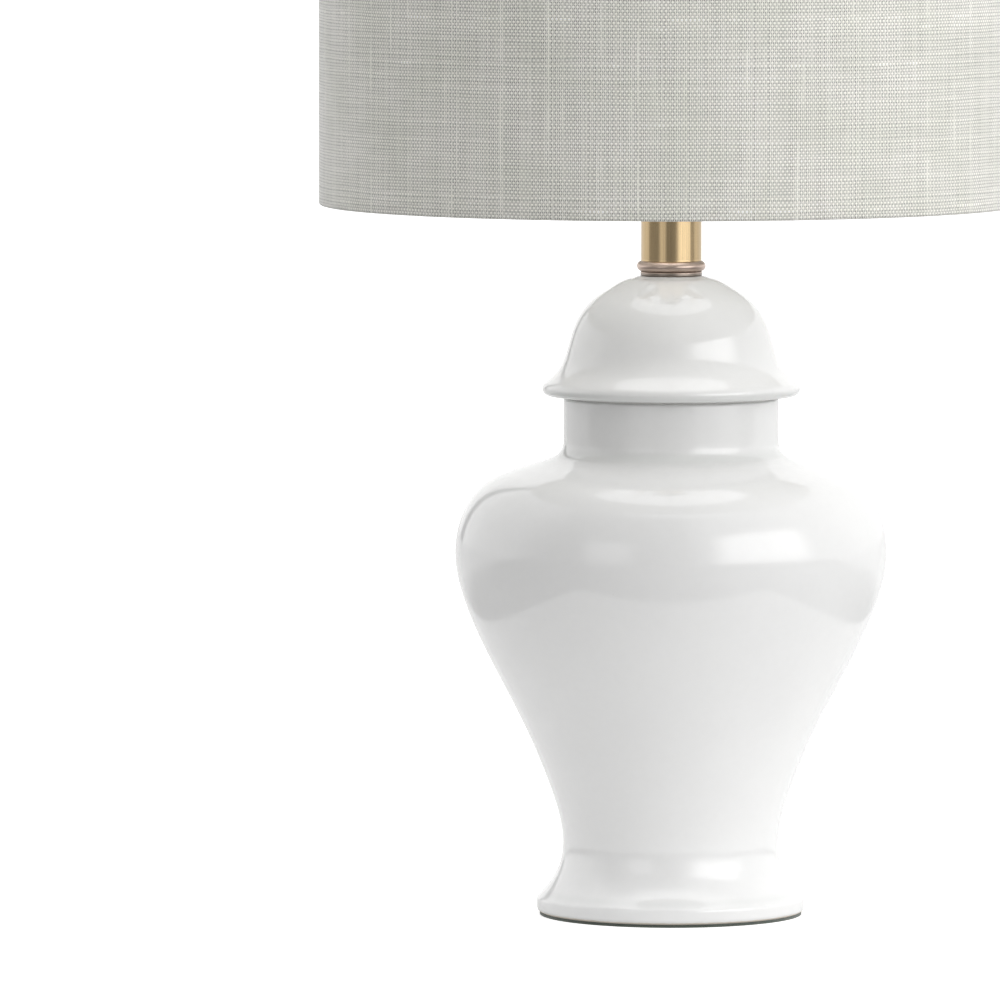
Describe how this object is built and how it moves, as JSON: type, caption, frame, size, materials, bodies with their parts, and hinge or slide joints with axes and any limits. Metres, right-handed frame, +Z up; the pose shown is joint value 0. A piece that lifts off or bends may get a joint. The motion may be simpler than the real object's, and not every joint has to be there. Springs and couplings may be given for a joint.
{
  "type": "table lamp with shade",
  "caption": "Table lamp: white glazed lidded jar on a flared foot, satin brass neck, linen drum shade on a harp, screw-base bulb and turn-key switch.",
  "frame": {"origin": "centre of the underside of the felt ring, on the table", "axes": "+Z up along the lamp's axis, -Y to the front where the switch knob points, +X to the right"},
  "size_m": [0.381, 0.3808, 0.6587],
  "materials": {
    "glaze": "gloss",
    "felt": "felt",
    "rubber": "matte",
    "pale_rubber": "matte",
    "bushing": "matte",
    "zinc_steel": "zinc plated",
    "pipe_steel": "plated",
    "satin_brass": "satin brushed",
    "bronzed_brass": "satin aged",
    "harp_brass": "plated",
    "socket_brass": "plated",
    "fibre": "matte",
    "cap_metal": "satin",
    "phenolic": "satin",
    "steel_stem": "satin",
    "knob_plastic": "gloss",
    "bulb_white": "satin",
    "bulb_frost": "frosted",
    "board": "satin",
    "led": "matte",
    "linen": "plain weave",
    "styrene": "matte",
    "white_wire": "satin",
    "finial_brass": "satin brushed"
  },
  "bodies": {
    "base": {"foot_felt": "felt", "jar_foot": "glaze", "jar_body": "glaze", "jar_neck": "glaze", "cord_bushing": "bushing", "jar_lid": "glaze", "lid_gasket": "pale_rubber", "base_gasket": "rubber", "base_washer": "zinc_steel", "lock_washer": "zinc_steel", "base_nut": "zinc_steel", "lamp_pipe": "pipe_steel", "neck_base_ring": "bronzed_brass", "neck_bead": "bronzed_brass", "neck_tube": "satin_brass", "neck_cap": "satin_brass", "harp_saddle": "harp_brass", "saddle_nut": "harp_brass", "socket_cap": "socket_brass", "socket_set_screw": "zinc_steel", "socket_shell": "socket_brass", "socket_liner": "fibre", "socket_screw_shell": "cap_metal", "switch_body": "phenolic", "terminal_screws": "socket_brass", "centre_contact": "socket_brass"},
    "switch": {"switch_stem": "steel_stem", "switch_knob": "knob_plastic"},
    "harp": {"harp": "harp_brass", "harp_crown": "harp_brass"},
    "ferrule_left": {"harp_ferrule_left": "harp_brass"},
    "ferrule_right": {"harp_ferrule_right": "harp_brass"},
    "stud": {"harp_stud": "harp_brass"},
    "shade": {"shade_linen": "linen", "shade_liner": "styrene", "shade_bottom_ring": "white_wire", "shade_top_ring": "white_wire", "spider_arms": "white_wire", "spider_hub": "white_wire"},
    "finial_base": {"finial_base": "finial_brass"},
    "finial": {"finial_knob": "finial_brass"},
    "bulb_cap": {"bulb_cap": "cap_metal", "bulb_contact": "cap_metal", "bulb_tip_insulator": "phenolic"},
    "bulb": {"bulb_housing": "bulb_white", "bulb_diffuser": "bulb_frost", "led_board": "board", "led_chips": "led", "bulb_driver": "board"}
  },
  "joints": [
    {"name": "switch_knob_turn", "type": "hinge", "parent": "base", "child": "switch", "pos_m": [0, 0, 0.4399], "axis": [0, -1, 0], "continuous": true},
    {"name": "harp_lift", "type": "slide", "parent": "base", "child": "harp", "axis": [0, 0, 1], "range_m": [0, 0.14]},
    {"name": "ferrule_left_lift", "type": "slide", "parent": "harp", "child": "ferrule_left", "axis": [0, 0, 1], "range_m": [0, 0.0155]},
    {"name": "ferrule_right_lift", "type": "slide", "parent": "harp", "child": "ferrule_right", "axis": [0, 0, 1], "range_m": [0, 0.0155]},
    {"name": "shade_swivel", "type": "hinge", "parent": "harp", "child": "stud", "pos_m": [0, 0, 0.62], "axis": [0, 0, 1], "continuous": true},
    {"name": "shade_lift", "type": "slide", "parent": "stud", "child": "shade", "axis": [0, 0, 1], "range_m": [0, 0.26]},
    {"name": "finial_rise", "type": "slide", "parent": "shade", "child": "finial_base", "axis": [0, 0, 1], "range_m": [0, 0.0161]},
    {"name": "finial_turn", "type": "hinge", "parent": "finial_base", "child": "finial", "pos_m": [0, 0, 0.64], "axis": [0, 0, 1], "range_deg": [0, 6120]},
    {"name": "bulb_rise", "type": "slide", "parent": "base", "child": "bulb_cap", "axis": [0, 0, 1], "range_m": [0, 0.0255]},
    {"name": "bulb_turn", "type": "hinge", "parent": "bulb_cap", "child": "bulb", "pos_m": [0, 0, 0.5], "axis": [0, 0, 1], "range_deg": [0, 2520]}
  ],
  "couplings": [
    {"joint": "finial_rise", "follows": "finial_turn", "m_per_rad": 0.00014972},
    {"joint": "bulb_rise", "follows": "bulb_turn", "m_per_rad": 0.00057751}
  ]
}
